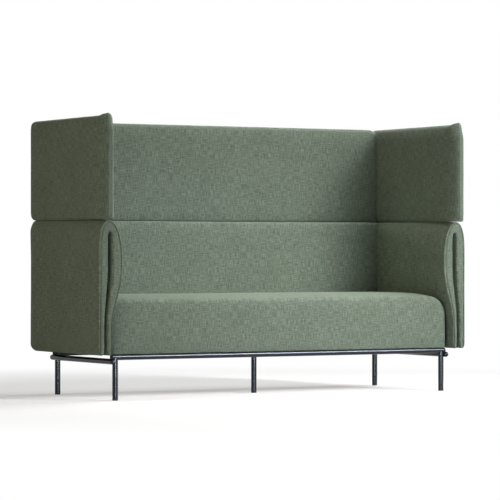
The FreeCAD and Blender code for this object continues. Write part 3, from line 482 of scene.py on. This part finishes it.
# arm: one padded sheet folded over like a hairpin, bulging inwards at elbow height
# a key is (distance in from the outer face, height) and a handle the length of its curve handle
armPad = {
    "frontKeys": [(0, 660), (45, 785), (46, 785), (118, 605), (118, 595), (67, 290)],
    "rearKeys": [(0, 742), (24, 785), (92, 785), (112, 700), (112, 500), (67, 300)],
    "frontHandles": [95, 20, 32, 135, 140, 140], "rearHandles": [26, 12, 12, 60, 95, 95],
    "rearStart": 9.0, "rearTuck": 2.0, "foot": 198.0, "outerLeaf": 30.0,
    "slot": 11.0, "slotLean": 21.0, "leanHandle": 0.45, "slotSwell": 3.0, "slotRadius": 11.0,
    "slotLow": 290.0, "slotHigh": 610.0, "slotTop": 733.0, "slotFlat": 0.1,
    "turnOut": 672.0, "turnIn": 640.0, "turnDrop": 4.0, "turnHandle": 0.9,
    "closing": 0.94, "closeLead": 6.0, "closeRun": 24.0,
    "frontRadius": 5.0, "footTaper": 0.96, "footRun": 34.0,
    "rearTrim": 6.0, "rearCorner": 26.0, "rearFoot": 40.0, "cornerReach": 90.0, "cornerShare": 0.98,
    "bandSides": [0.75, 0.5, 0.2, -0.2, -0.6], "seamSide": 0.75, "seamDepth": 8.0,
    "topLift": 5.5, "liftStart": 15.0, "liftRun": 50.0,
    "stopLength": 190.0, "stopGap": 0.05, "cell": 15.0,
}
armSpans = {
    # start and end along the sheet, from the outer foot over the fold to the inner foot, and steps between
    "outerFoot": (0, 1, 7), "outerLeaf": (1, 2, 20), "outerSide": (2, 2.5, 4), "outerFold": (2.5, 3.5, 12),
    "crest": (3.5, 3.6, 1), "innerFold": (3.6, 4.6, 14), "innerSide": (4.6, 4.9, 2),
    "innerLeaf": (4.9, 6, 20), "innerFoot": (6, 7, 7),
}
sheetEnd = armSpans["innerFoot"][1]
footHeight = armPad["slotLow"] - armPad["foot"]  # mm in the first and the last span


def line(p, q):
    return lambda share: [p[n] + (q[n] - p[n]) * share for n in (0, 1)]


def curve(*points):
    # cubic curve from the first point to the last, drawn by the two handles between
    def at(share):
        rest = 1 - share
        weights = (rest ** 3, 3 * rest ** 2 * share, 3 * rest * share ** 2, share ** 3)
        return [sum(w * p[n] for w, p in zip(weights, points)) for n in (0, 1)]
    return at


def over(point, width):
    return (point[0] + width, point[1])


def up(point, height):
    return (point[0], point[1] + height)


def armPaths(rear, rise, closing, lift):
    # outer face and slot wall at a place along the sheet
    keys = [[f[n] + (r[n] - f[n]) * rear for n in (0, 1)]
            for f, r in zip(armPad["frontKeys"], armPad["rearKeys"])]
    handles = [f + (r - f) * rear for f, r in zip(armPad["frontHandles"], armPad["rearHandles"])]
    keys[1][1] = keys[1][1] + lift
    keys[2][1] = keys[2][1] + lift
    keys[5][0] = keys[5][0] + (keys[4][0] - armPad["rearTuck"] - keys[5][0]) * closing

    foot, low, high, top = (armPad[key] for key in ("foot", "slotLow", "slotHigh", "slotTop"))
    half = armPad["slot"] / 2 * (1 - armPad["closing"] * closing)
    wide = half + armPad["slotSwell"] * (1 - closing)  # the slot is wider towards the fold
    centreLow = armPad["outerLeaf"] + armPad["slot"] / 2
    centreHigh = centreLow + armPad["slotLean"]
    outLow, inLow = (centreLow - half, low), (centreLow + half, low)
    outHigh, inHigh = (centreHigh - wide, high), (centreHigh + wide, high)
    outTurn, inTurn = (outHigh[0], armPad["turnOut"]), (inHigh[0], armPad["turnIn"])
    crest, crestEnd = (centreHigh, top), (centreHigh + armPad["slotFlat"], top)
    reach = (high - low) * armPad["leanHandle"]
    turnReach = wide * armPad["turnHandle"]
    turnTop = top - armPad["turnDrop"]

    paths = {
        "outerFoot": (line((0, foot), (0, low)), line((outLow[0], foot), outLow)),
        "outerLeaf": (line((0, low), (0, high)),
                      curve(outLow, up(outLow, reach), up(outHigh, -reach), outHigh)),
        "outerSide": (line((0, high), keys[0]), line(outHigh, outTurn)),
        "outerFold": (curve(keys[0], up(keys[0], handles[0]), over(keys[1], -handles[1]), keys[1]),
                      curve(outTurn, (outTurn[0], turnTop), over(crest, -turnReach), crest)),
        "crest": (line(keys[1], keys[2]), line(crest, crestEnd)),
        "innerFold": (curve(keys[2], over(keys[2], handles[2]), up(keys[3], handles[3]), keys[3]),
                      curve(crestEnd, over(crest, turnReach), (inTurn[0], turnTop), inTurn)),
        "innerSide": (line(keys[3], keys[4]), line(inTurn, inHigh)),
        "innerLeaf": (curve(keys[4], up(keys[4], -handles[4]), up(keys[5], handles[5]), keys[5]),
                      curve(inHigh, up(inHigh, -reach), up(inLow, reach), inLow)),
        "innerFoot": (line(keys[5], (keys[5][0], foot)), line(inLow, (inLow[0], foot))),
    }
    found = [np.zeros_like(rise) for _ in range(4)]
    for span, (outer, inner) in paths.items():
        start, end, _ = armSpans[span]
        inside = (rise >= start) & (rise <= end)
        share = np.clip((rise - start) / (end - start), 0, 1)
        found = [np.where(inside, new, old) for new, old in zip(outer(share) + inner(share), found)]
    return found


def armStops():
    # stops along the sheet, closer at the feet and round the fold
    feet = [offset / footHeight for offset in ringStops(armPad["footRun"], padEdge["steps"])]
    stops = list(feet)
    lastStop = sheetEnd - feet[-1] - armPad["stopGap"]
    for start, end, count in armSpans.values():
        for k in range(1, count + 1):
            stop = start + (end - start) * k / count
            if stops[-1] + armPad["stopGap"] < stop < lastStop:
                stops.append(stop)
    return np.array(stops + [sheetEnd - f for f in reversed(feet)])


def armSheet(name, sign):
    word = "right" if sign > 0 else "left"
    low, high = nodeBox(word + "_arm_cover")
    high[1] -= armPad["rearTrim"]  # the swell of the stuffing makes it up
    backFront = nodeBox("lower_back_cover")[0][1]
    outerX = max(abs(low[0]), abs(high[0]))
    radius = armPad["frontRadius"]
    frontRing = ringStops(armPad["slotRadius"], padEdge["steps"])
    rearRing = ringStops(padEdge["radius"], padEdge["steps"])
    aStops = edgeToEdge(low[1], high[1], frontRing, rearRing, armPad["cell"])

    def place(a, b, side):
        rearStart = armPad["rearStart"]
        rear = np.clip((a - low[1] - rearStart) / (backFront - low[1] - rearStart), 0, 1)
        closing = np.clip((a - backFront + armPad["closeLead"]) / armPad["closeRun"], 0, 1)
        lift = armPad["topLift"] * np.clip((a - low[1] - armPad["liftStart"]) / armPad["liftRun"], 0, 1)
        ox, oz, sx, sz = armPaths(rear, b, closing, lift)
        thick = np.hypot(ox - sx, oz - sz) / 2
        fromFoot = np.minimum(b, sheetEnd - b) * footHeight
        foot = thick * crownDepth(fromFoot, armPad["footTaper"], armPad["footRun"])
        rearDepth = quarterDepth(high[1] - a, padEdge["radius"])
        depthOut = np.maximum.reduce([quarterDepth(a - low[1], radius), foot, rearDepth])
        depthIn = np.maximum(quarterDepth(a - low[1], armPad["slotRadius"]), foot)
        share = np.where(side >= 0, side * (1 - depthOut / thick), side * (1 - depthIn / thick))
        mid = (1 + share) / 2
        across = sx + (ox - sx) * mid
        height = sz + (oz - sz) * mid
        reach = armPad["cornerReach"]
        topShare = np.clip((height - high[2] + reach) / reach, 0, 1) ** 2
        footShare = np.clip(1 - (height - low[2]) / reach, 0, 1) ** 2
        for corner, shift in ((armPad["rearCorner"], -topShare), (armPad["rearFoot"], footShare)):
            late = np.clip(a - (high[1] - corner), 0, corner * armPad["cornerShare"])
            height = height + shift * (corner - np.sqrt(corner ** 2 - late ** 2))
        seam = (a == low[1]) & (side == armPad["seamSide"]) & (b > 0) & (b < sheetEnd)
        y = a + np.where(seam, armPad["seamDepth"], 0)
        return np.stack([sign * (outerX - across), y, height], axis=1)

    pad = latticePad(name, aStops, armStops(), armPad["bandSides"], place)
    # the weave follows the sheet's own length rather than its stop numbers
    uv = pad["object"].data.uv_layers["cloth"].data
    values = np.zeros(len(uv) * 2, np.float32)
    uv.foreach_get("uv", values)
    values[1::2] *= armPad["stopLength"]
    uv.foreach_set("uv", values)
    pad["bScale"] = armPad["stopLength"]
    pad["replaces"] = [word + "_arm_cover", word + "_arm_inner_foam", word + "_arm_outer_foam"]
    return pad


pads = {}
for padName, spec in backPads.items():
    pads[padName] = backPad(padName, spec)
pads["seatCushion"] = seatPad("seatCushion")
for word, sign in (("Left", -1), ("Right", 1)):
    pads["screen" + word] = sidePad("screen" + word, sign)
    pads["arm" + word] = armSheet("arm" + word, sign)
print("pads laid out:", len(pads))


def faceOutwards(mesh):
    # a closed shell with negative volume is inside out
    volume = 0.0
    for face in mesh.polygons:
        corners = [mesh.vertices[v].co for v in face.vertices]
        for k in range(1, len(corners) - 1):
            volume += corners[0].dot(corners[k].cross(corners[k + 1]))
    if volume < 0:
        mesh.flip_normals()


# stuffing: each cover is blown up a little between its sewn edges, as a pressed cloth with its move capped
stuffing = {"pressure": 4.0, "frames": 20, "cap": 3.0, "edgeRun": 30.0, "stiffness": 15.0, "air": 5.0}
sewnSides = {"upperBack": 0.99, "lowerBack": 0.99, "seatCushion": -0.9}  # sides from here back are held
looseSide = -2.0  # behind every side, so that none is held
undulation = {"height": 0.5, "length": 95.0, "seed": 41.0}


def coordinates(mesh):
    values = np.zeros(len(mesh.vertices) * 3)
    mesh.vertices.foreach_get("co", values)
    return values.reshape(-1, 3)


def holdWeights(pad, sewnSide):
    # 1 on the sewn rim and on what lies behind, falling to 0 away from it
    a, b, side = pad["a"], pad["b"], pad["side"]
    fromFoot, fromTop = (b - b.min()) * pad["bScale"], (b.max() - b) * pad["bScale"]
    rim = np.minimum.reduce([a - a.min(), a.max() - a, fromFoot, fromTop])
    weights = np.clip(1 - rim / stuffing["edgeRun"], 0, 1)
    return np.where(side < sewnSide, 1.0, weights)


def addStuffing(pad, sewnSide):
    piece = pad["object"]
    group = piece.vertex_groups.new(name="sewn")
    for index, weight in enumerate(holdWeights(pad, sewnSide)):
        if weight > 0:
            group.add([index], float(weight), "REPLACE")
    cloth = piece.modifiers.new("stuffing", "CLOTH")
    cloth.settings.vertex_group_mass = group.name
    cloth.settings.use_pressure = True
    cloth.settings.uniform_pressure_force = stuffing["pressure"]
    cloth.settings.effector_weights.gravity = 0.0
    cloth.settings.tension_stiffness = stuffing["stiffness"]
    cloth.settings.compression_stiffness = stuffing["stiffness"]
    cloth.settings.air_damping = stuffing["air"]
    cloth.point_cache.frame_end = stuffing["frames"]


def applyStuffing(pad):
    piece = pad["object"]
    graph = bpy.context.evaluated_depsgraph_get()
    start = coordinates(piece.data)
    move = coordinates(piece.evaluated_get(graph).data) - start
    length = np.linalg.norm(move, axis=1, keepdims=True)
    cap = stuffing["cap"] * mm
    move = move * np.minimum(1, cap / np.maximum(length, 1e-9))
    piece.modifiers.clear()
    piece.vertex_groups.clear()
    piece.data.vertices.foreach_set("co", (start + move).ravel())
    piece.data.update()
    return float(length.max() / mm)


for pad in pads.values():
    faceOutwards(pad["object"].data)
for padName, pad in pads.items():
    addStuffing(pad, sewnSides.get(padName, looseSide))
for step in range(1, stuffing["frames"] + 1):
    bpy.context.scene.frame_set(step)
for padName, pad in pads.items():
    print("stuffed", padName, "free move", round(applyStuffing(pad), 1), "mm")
bpy.context.scene.frame_set(1)


def undulate(mesh):
    # hand upholstery is never quite even
    start = coordinates(mesh)
    normals = np.array([vertex.normal for vertex in mesh.vertices])
    scale = 1000 / undulation["length"]
    seed = Vector((undulation["seed"], 0, 0))
    swell = [noise.noise(Vector(point) * scale + seed) for point in start]
    moved = start + normals * np.array(swell)[:, None] * undulation["height"] * mm
    mesh.vertices.foreach_set("co", moved.ravel())
    mesh.update()


def finishPad(pad):
    piece = pad["object"]
    undulate(piece.data)
    smooth = piece.modifiers.new("rounding", "SUBSURF")
    smooth.levels = 1
    smooth.render_levels = 1
    evaluated = piece.evaluated_get(bpy.context.evaluated_depsgraph_get())
    mesh = bpy.data.meshes.new_from_object(evaluated)
    mesh.name = piece.name
    piece.modifiers.clear()
    piece.data = mesh
    mesh.polygons.foreach_set("use_smooth", [True] * len(mesh.polygons))
    mesh.materials.clear()
    mesh.materials.append(finishes["upholstery_fabric"])


for pad in pads.values():
    finishPad(pad)
    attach(pad["object"], rootBody)
    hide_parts(*pad["replaces"])
print("pads finished:", sum(len(pad["object"].data.polygons) for pad in pads.values()), "faces")


# stitches: small thread bars along each seam groove
stitchSizes = {"pitch": 7.0, "length": 4.6, "thickness": 0.9}
seamEnds = {"armGap": 0.1, "stripSkip": 2}  # bare ends: a share of the first span, and stops of the strip


def stitchTree():
    tree = bpy.data.node_groups.new("stitchRow", "GeometryNodeTree")
    tree.interface.new_socket("Geometry", in_out="INPUT", socket_type="NodeSocketGeometry")
    for label in ("Pitch", "Length", "Thickness"):
        tree.interface.new_socket(label, in_out="INPUT", socket_type="NodeSocketFloat")
    tree.interface.new_socket("Thread", in_out="INPUT", socket_type="NodeSocketMaterial")
    tree.interface.new_socket("Geometry", in_out="OUTPUT", socket_type="NodeSocketGeometry")
    given = addNode(tree, "NodeGroupInput").outputs
    path = addNode(tree, "GeometryNodeMeshToCurve", {"Mesh": given["Geometry"]})
    points = addNode(tree, "GeometryNodeResampleCurve", {
        "Curve": path.outputs["Curve"], "Length": given["Pitch"]}, mode="LENGTH")
    tangent = addNode(tree, "GeometryNodeInputTangent")
    turn = addNode(tree, "FunctionNodeAlignRotationToVector", {
        "Vector": tangent.outputs["Tangent"]}, axis="Z")
    radius = addNode(tree, "ShaderNodeMath", {0: given["Thickness"], 1: 0.5}, operation="MULTIPLY")
    bar = addNode(tree, "GeometryNodeMeshUVSphere", {"Segments": 6, "Rings": 4, "Radius": radius.outputs[0]})
    stretch = addNode(tree, "ShaderNodeMath", {0: given["Length"], 1: given["Thickness"]}, operation="DIVIDE")
    size = addNode(tree, "ShaderNodeCombineXYZ", {"X": 1.0, "Y": 1.0, "Z": stretch.outputs[0]})
    row = addNode(tree, "GeometryNodeInstanceOnPoints", {
        "Points": points.outputs["Curve"], "Instance": bar.outputs["Mesh"],
        "Rotation": turn.outputs["Rotation"], "Scale": size.outputs["Vector"]})
    real = addNode(tree, "GeometryNodeRealizeInstances", {"Geometry": row.outputs["Instances"]})
    thread = addNode(tree, "GeometryNodeSetMaterial", {
        "Geometry": real.outputs["Geometry"], "Material": given["Thread"]})
    addNode(tree, "NodeGroupOutput", {"Geometry": thread.outputs["Geometry"]})
    return tree


def seamPath(pad, chosen, along):
    # the points of one seam in order; a finished pad's mesh starts with the vertices it was laid out with
    picked = np.nonzero(chosen)[0]
    order = picked[np.argsort(along[picked])]
    return coordinates(pad["object"].data)[order]


def stitchRow(name, paths, tree):
    mesh = bpy.data.meshes.new(name)
    points, edges = [], []
    for path in paths:
        first = len(points)
        points += path.tolist()
        edges += [(k, k + 1) for k in range(first, len(points) - 1)]
    mesh.from_pydata(points, edges, [])
    piece = bpy.data.objects.new(name, mesh)
    bpy.context.scene.collection.objects.link(piece)
    rows = piece.modifiers.new("stitches", "NODES")
    rows.node_group = tree
    values = {"Pitch": stitchSizes["pitch"] * mm, "Length": stitchSizes["length"] * mm,
              "Thickness": stitchSizes["thickness"] * mm, "Thread": threadFinish}
    for item in tree.interface.items_tree:
        if item.in_out == "INPUT" and item.name in values:
            rows[item.identifier] = values[item.name]
    evaluated = piece.evaluated_get(bpy.context.evaluated_depsgraph_get())
    plain = bpy.data.meshes.new_from_object(evaluated)
    plain.name = name
    piece.modifiers.clear()
    piece.data = plain
    plain.polygons.foreach_set("use_smooth", [True] * len(plain.polygons))
    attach(piece, rootBody)
    return len(plain.polygons)


stitches = stitchTree()
grooveStop = screenPad["seamStops"].index(screenPad["seamRun"] / 2)  # the deepest stop of a screen's seam
for word in ("Left", "Right"):
    arm = pads["arm" + word]
    betweenFeet = (arm["b"] > seamEnds["armGap"]) & (arm["b"] < sheetEnd - seamEnds["armGap"])
    onGroove = (arm["a"] == arm["a"].min()) & (arm["side"] == armPad["seamSide"]) & betweenFeet
    paths = [seamPath(arm, onGroove, arm["b"])]
    screen = pads["screen" + word]
    skip = seamEnds["stripSkip"]
    for face in (1, -1):
        onStrip = (screen["a"] == np.unique(screen["a"])[grooveStop]) & (screen["side"] == face)
        paths.append(seamPath(screen, onStrip, screen["b"])[skip:-skip])
    print("stitches", word, stitchRow("stitches" + word, paths, stitches), "faces")


# studio: white floor that keeps the shadow, key light right of the front, warm fill from the left
studio = {
    "floorSize": 40.0, "floorGrey": 0.4, "bounceGrey": 0.2, "floorLift": 0.43,
    "fadeStart": 1.3, "fadeEnd": 2.9,
    "ambient": 0.08, "ambientTint": (1.0, 0.95, 0.86, 1.0), "white": (1.0, 1.0, 1.0, 1.0),
}
lamps = {
    # place, aim, size, power, spread in degrees, tint
    "keyLampLeft": ((1.75, -2.95, 1.95), (-0.6, 0.2, 0.25), (1.8, 1.8), 6.0, 36, (1.0, 0.99, 0.98)),
    "keyLampRight": ((1.75, -2.95, 1.95), (0.5, 0.2, 0.31), (1.8, 1.8), 6.8, 36, (1.0, 0.99, 0.98)),
    "stripLamp": ((1.9, -3.4, 2.3), (0.0, -0.3, 0.2), (4.6, 0.22), 5.0, 60, (0.84, 0.91, 1.0)),
    "frontLamp": ((-1.3, -6.0, 0.15), (0.0, 0.0, 0.2), (3.6, 0.26), 17.0, 180, (0.93, 0.97, 1.0)),
    "fillLamp": ((-4.8, -2.0, 1.8), (0.0, 0.0, 0.6), (2.0, 2.0), 52.0, 180, (1.0, 0.9, 0.67)),
    "topLamp": ((1.25, 0.4, 4.0), (0.0, 0.0, 0.5), (1.6, 1.6), 124.0, 180, (1.0, 0.99, 0.97)),
    "rearLamp": ((0.8, 5.0, 2.4), (0.0, 0.3, 0.6), (3.0, 3.0), 12.0, 180, (1.0, 0.98, 0.95)),
    "shadowLamp": ((2.5, -4.0, 1.75), (0.0, 0.6, 0.0), (0.9, 0.9), 570.0, 180, (1.0, 1.0, 1.0)),
    "tubeLamp": ((-1.2, -5.0, 0.1), (0.0, 0.0, 0.1), (1.5, 0.16), 105.0, 180, (0.88, 0.94, 1.0)),
    "railLamp": ((1.9, -3.4, 2.3), (0.0, -0.3, 0.2), (4.6, 0.22), 400.0, 60, (0.84, 0.91, 1.0)),
}


def areaLamp(name, place, aim, size, power, spread, tint):
    lamp = bpy.data.lights.new(name, "AREA")
    lamp.shape = "RECTANGLE"
    lamp.size, lamp.size_y = size
    lamp.energy = power
    lamp.spread = math.radians(spread)
    lamp.color = tint
    holder = bpy.data.objects.new(name, lamp)
    bpy.context.scene.collection.objects.link(holder)
    holder.location = place
    holder.rotation_euler = (Vector(aim) - Vector(place)).to_track_quat("-Z", "Y").to_euler()
    return holder


holders = {name: areaLamp(name, *spec) for name, spec in lamps.items()}


def lightOnly(lampName, pieces):
    # the lamp lights these pieces alone, and the others only block it
    chosen = bpy.data.collections.new(lampName + "Only")
    for piece in pieces:
        chosen.objects.link(piece)
    holders[lampName].light_linking.receiver_collection = chosen


# two lamps draw the highlights on the black tubes, and leave the cloth as it is
coat = finishes["powder_coated_steel"]
tubes = [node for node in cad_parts.values() if coat.name in node.data.materials]
for lampName in ("tubeLamp", "railLamp"):
    lightOnly(lampName, tubes)


def surroundRays(tree):
    # 1 for rays that show the surround: from the lens, off shiny faces and through clear ones
    path = addNode(tree, "ShaderNodeLightPath").outputs
    shown = path["Is Camera Ray"]
    for kind in ("Is Glossy Ray", "Is Transmission Ray"):
        shown = addNode(tree, "ShaderNodeMath", {0: shown, 1: path[kind]}, operation="MAXIMUM").outputs[0]
    return shown


def studioWorld():
    # a dim warm room, seen as plain white
    world = bpy.data.worlds.new("studio")
    world.use_nodes = True
    tree = world.node_tree
    tree.nodes.clear()
    ambient = addNode(tree, "ShaderNodeBackground", {
        "Color": studio["ambientTint"], "Strength": studio["ambient"]})
    white = addNode(tree, "ShaderNodeBackground", {"Color": studio["white"], "Strength": 1.0})
    mixed = addNode(tree, "ShaderNodeMixShader", {
        0: surroundRays(tree), 1: ambient.outputs[0], 2: white.outputs[0]})
    addNode(tree, "ShaderNodeOutputWorld", {"Surface": mixed.outputs[0]})
    return world


# matt white studio floor: it keeps the shadow close by, fades to plain white, and is clear from below
def floorMaterial(name):
    material = bpy.data.materials.new(name)
    material.use_nodes = True
    tree = material.node_tree
    tree.nodes.clear()
    shown = surroundRays(tree)
    seen, bounced = (addNode(tree, "ShaderNodeBsdfDiffuse", {"Color": (grey, grey, grey, 1.0)})
                     for grey in (studio["floorGrey"], studio["bounceGrey"]))
    matt = addNode(tree, "ShaderNodeMixShader", {0: shown, 1: bounced.outputs[0], 2: seen.outputs[0]})
    liftPower = addNode(tree, "ShaderNodeMath", {0: shown, 1: studio["floorLift"]}, operation="MULTIPLY")
    lift = addNode(tree, "ShaderNodeEmission", {"Color": studio["white"], "Strength": liftPower.outputs[0]})
    lit = addNode(tree, "ShaderNodeAddShader", {0: matt.outputs[0], 1: lift.outputs[0]})
    coords = addNode(tree, "ShaderNodeTexCoord")
    distance = addNode(tree, "ShaderNodeVectorMath", {0: coords.outputs["Object"]}, operation="LENGTH")
    fade = addNode(tree, "ShaderNodeMapRange", {
        "Value": distance.outputs["Value"], "From Min": studio["fadeStart"], "From Max": studio["fadeEnd"]})
    far = addNode(tree, "ShaderNodeMath", {0: shown, 1: fade.outputs["Result"]}, operation="MULTIPLY")
    plain = addNode(tree, "ShaderNodeEmission", {"Color": studio["white"], "Strength": 1.0})
    faded = addNode(tree, "ShaderNodeMixShader", {0: far.outputs[0], 1: lit.outputs[0], 2: plain.outputs[0]})
    clear = addNode(tree, "ShaderNodeBsdfTransparent")
    below = addNode(tree, "ShaderNodeNewGeometry")
    mixed = addNode(tree, "ShaderNodeMixShader", {
        0: below.outputs["Backfacing"], 1: faded.outputs[0], 2: clear.outputs[0]})
    addNode(tree, "ShaderNodeOutputMaterial", {"Surface": mixed.outputs[0]})
    return material


bpy.context.scene.world = studioWorld()
floorMesh = bpy.data.meshes.new("studioFloor")
edge = studio["floorSize"] / 2
floorMesh.from_pydata([(-edge, -edge, 0), (edge, -edge, 0), (edge, edge, 0), (-edge, edge, 0)], [],
                      [(0, 1, 2, 3)])
floorMesh.materials.append(floorMaterial("white studio floor"))
floor = bpy.data.objects.new("studioFloor", floorMesh)
bpy.context.scene.collection.objects.link(floor)
lightOnly("shadowLamp", [floor])
print("studio set")


# camera at the photograph's viewing angle
viewpoint = {"place": (-6.1727, -10.7793, 0.6469), "turn": -29.77, "lens": 194.5, "sensor": 36.0,
             "shiftY": 0.0036, "reach": 100.0}
camera = bpy.data.objects.new("viewCamera", bpy.data.cameras.new("viewCamera"))
bpy.context.scene.collection.objects.link(camera)
camera.location = viewpoint["place"]
camera.rotation_euler = (math.radians(90), 0.0, math.radians(viewpoint["turn"]))
camera.data.lens = viewpoint["lens"]
camera.data.sensor_width = viewpoint["sensor"]
camera.data.shift_y = viewpoint["shiftY"]
camera.data.clip_end = viewpoint["reach"]
bpy.context.scene.camera = camera
bpy.context.scene.view_settings.view_transform = "Standard"
